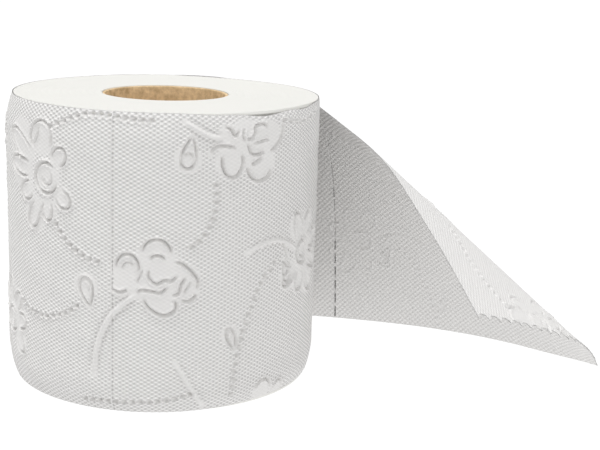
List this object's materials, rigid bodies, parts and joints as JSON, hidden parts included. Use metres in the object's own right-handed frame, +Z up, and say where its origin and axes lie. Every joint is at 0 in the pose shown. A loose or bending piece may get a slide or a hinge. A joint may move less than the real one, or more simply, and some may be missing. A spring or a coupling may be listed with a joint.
{
  "type": "toilet paper roll",
  "caption": "Round roll of embossed two-ply toilet paper on a cardboard tube, with its loose end standing beside it and curling over.",
  "frame": {"origin": "centre of the roll's base, on the axis of the tube", "axes": "+Z up along the tube; the loose end leaves the roll at its back and runs towards +X"},
  "size_m": [0.2093, 0.1122, 0.0956],
  "materials": {
    "tissue": "matte",
    "board": "matte"
  },
  "bodies": {
    "root": {"paper_roll": "tissue", "core_tube": "board"}
  },
  "joints": []
}
